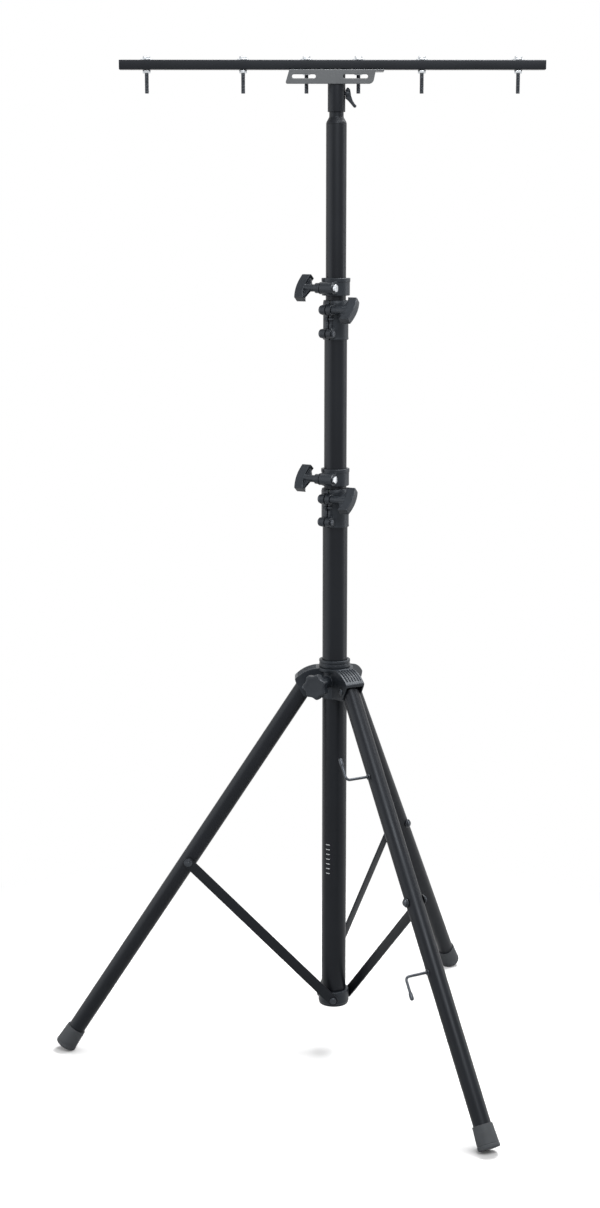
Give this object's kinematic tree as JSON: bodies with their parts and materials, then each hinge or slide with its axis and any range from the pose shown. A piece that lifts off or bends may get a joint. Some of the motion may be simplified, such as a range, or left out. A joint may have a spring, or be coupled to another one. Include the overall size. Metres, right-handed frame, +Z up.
{
  "type": "telescopic tripod stand",
  "caption": "Folding tripod with a three-section telescopic mast, clamp sleeves, safety collars and a T-bar with bolts for hanging lamps.",
  "frame": {"origin": "on the floor, under the centre of the bounding box; the mast stands 0.090 m towards +X from it", "axes": "+Z up along the mast, +X along the T-bar, -Y towards the viewer of the picture"},
  "size_m": [0.9844, 1.0154, 2.0277],
  "materials": {
    "tube_paint": "satin black powder coat on steel tube",
    "bracket_grey": "satin dark grey powder coat",
    "moulded_black": "black glass filled nylon moulding, fine grain",
    "guide_nylon": "natural nylon",
    "black_steel": "blackened steel",
    "zinc": "bright zinc plate",
    "foot_rubber": "dark grey moulded rubber"
  },
  "bodies": {
    "base": {"base_tube": "tube_paint", "base_collar": "moulded_black", "collar_screw_1": "black_steel", "collar_screw_2": "black_steel", "collar_screw_3": "black_steel", "lower_sleeve": "moulded_black", "lower_liner": "guide_nylon", "lower_sleeve_nut": "black_steel", "lower_sleeve_screw": "black_steel"},
    "hub": {"hub": "moulded_black", "hub_bush": "moulded_black", "pivot_bolt_1": "black_steel", "pivot_bolt_2": "black_steel", "pivot_bolt_3": "black_steel"},
    "knob": {"star_knob": "moulded_black"},
    "middle": {"middle_tube": "tube_paint", "middle_stop": "guide_nylon", "upper_sleeve": "moulded_black", "upper_liner": "guide_nylon", "upper_sleeve_nut": "black_steel", "upper_sleeve_screw": "black_steel"},
    "top": {"top_tube": "tube_paint", "top_stop": "guide_nylon", "spigot": "black_steel"},
    "adapter": {"adapter_socket": "tube_paint", "adapter_bracket": "bracket_grey", "t_bar": "tube_paint", "t_bar_cap_left": "moulded_black", "t_bar_cap_right": "moulded_black", "bar_bolt_1": "zinc", "bar_bolt_2": "zinc", "bar_bolt_3": "zinc", "bar_bolt_4": "zinc", "bar_bolt_5": "zinc", "bar_bolt_6": "zinc"},
    "lever": {"adapter_lever": "moulded_black"},
    "lower_safety": {"lower_collar": "moulded_black", "lower_collar_nut": "zinc"},
    "upper_safety": {"upper_collar": "moulded_black", "upper_collar_nut": "zinc"},
    "leg_1": {"leg_1": "tube_paint", "foot_1": "foot_rubber", "brace_bolt_1": "black_steel"},
    "brace_1": {"brace_1": "tube_paint"},
    "leg_2": {"leg_2": "tube_paint", "foot_2": "foot_rubber", "brace_bolt_2": "black_steel", "cable_hook_upper": "black_steel", "cable_hook_lower": "black_steel"},
    "brace_2": {"brace_2": "tube_paint"},
    "leg_3": {"leg_3": "tube_paint", "foot_3": "foot_rubber", "brace_bolt_3": "black_steel"},
    "brace_3": {"brace_3": "tube_paint"},
    "lower_sleeve_handle": {"lower_sleeve_handle": "moulded_black"},
    "upper_sleeve_handle": {"upper_sleeve_handle": "moulded_black"},
    "lower_collar_handle": {"lower_collar_handle": "moulded_black"},
    "upper_collar_handle": {"upper_collar_handle": "moulded_black"}
  },
  "joints": [
    {"name": "hub_slide", "type": "slide", "parent": "base", "child": "hub", "axis": [0, 0, 1], "range_m": [0, 0.1924]},
    {"name": "middle_slide", "type": "slide", "parent": "base", "child": "middle", "axis": [0, 0, 1], "range_m": [-0.24, 0.585]},
    {"name": "top_slide", "type": "slide", "parent": "middle", "child": "top", "axis": [0, 0, 1], "range_m": [-0.28, 0.615]},
    {"name": "lower_safety_slide", "type": "slide", "parent": "base", "child": "lower_safety", "axis": [0, 0, 1], "range_m": [-0.0055, 0.2]},
    {"name": "upper_safety_slide", "type": "slide", "parent": "middle", "child": "upper_safety", "axis": [0, 0, 1], "range_m": [-0.0085, 0.2]},
    {"name": "adapter_turn", "type": "hinge", "parent": "top", "child": "adapter", "pos_m": [0.09022, 0, 1.9236], "axis": [0, 0, 1], "continuous": true},
    {"name": "adapter_lever_turn", "type": "hinge", "parent": "adapter", "child": "lever", "pos_m": [0.09022, 0, 1.958], "axis": [1, 0, 0], "range_deg": [-120, 120]},
    {"name": "star_knob_turn", "type": "hinge", "parent": "hub", "child": "knob", "pos_m": [0.04722, -0.07448, 0.8], "axis": [-0.5, -0.866, 0], "continuous": true},
    {"name": "lower_sleeve_handle_turn", "type": "hinge", "parent": "base", "child": "lower_sleeve_handle", "pos_m": [0.07147, -0.03248, 1.174], "axis": [0.866, -0.5, 0], "continuous": true},
    {"name": "lower_collar_handle_turn", "type": "hinge", "parent": "lower_safety", "child": "lower_collar_handle", "pos_m": [0.07222, -0.03118, 1.213], "axis": [-0.866, 0.5, 0], "continuous": true},
    {"name": "upper_sleeve_handle_turn", "type": "hinge", "parent": "middle", "child": "upper_sleeve_handle", "pos_m": [0.07272, -0.03031, 1.546], "axis": [0.866, -0.5, 0], "continuous": true},
    {"name": "upper_collar_handle_turn", "type": "hinge", "parent": "upper_safety", "child": "upper_collar_handle", "pos_m": [0.07222, -0.03118, 1.588], "axis": [-0.866, 0.5, 0], "continuous": true},
    {"name": "leg_1_fold", "type": "hinge", "parent": "hub", "child": "leg_1", "pos_m": [0.03022, 0, 0.788], "axis": [0, -1, 0], "range_deg": [0, 33.08]},
    {"name": "brace_1_fold", "type": "hinge", "parent": "base", "child": "brace_1", "pos_m": [0.08822, 0, 0.121], "axis": [0, 1, 0], "range_deg": [0, 37.44]},
    {"name": "leg_2_fold", "type": "hinge", "parent": "hub", "child": "leg_2", "pos_m": [0.12022, -0.05196, 0.788], "axis": [0.866, 0.5, 0], "range_deg": [0, 33.08]},
    {"name": "brace_2_fold", "type": "hinge", "parent": "base", "child": "brace_2", "pos_m": [0.09122, -0.00173, 0.121], "axis": [-0.866, -0.5, 0], "range_deg": [0, 37.44]},
    {"name": "leg_3_fold", "type": "hinge", "parent": "hub", "child": "leg_3", "pos_m": [0.12022, 0.05196, 0.788], "axis": [-0.866, 0.5, 0], "range_deg": [0, 33.08]},
    {"name": "brace_3_fold", "type": "hinge", "parent": "base", "child": "brace_3", "pos_m": [0.09122, 0.00173, 0.121], "axis": [0.866, -0.5, 0], "range_deg": [0, 37.44]}
  ],
  "couplings": [
    {"joint": "leg_1_fold", "follows": "hub_slide", "rad_per_m": 2.9968},
    {"joint": "brace_1_fold", "follows": "hub_slide", "rad_per_m": 3.3919},
    {"joint": "leg_2_fold", "follows": "hub_slide", "rad_per_m": 2.9968},
    {"joint": "brace_2_fold", "follows": "hub_slide", "rad_per_m": 3.3919},
    {"joint": "leg_3_fold", "follows": "hub_slide", "rad_per_m": 2.9968},
    {"joint": "brace_3_fold", "follows": "hub_slide", "rad_per_m": 3.3919}
  ]
}
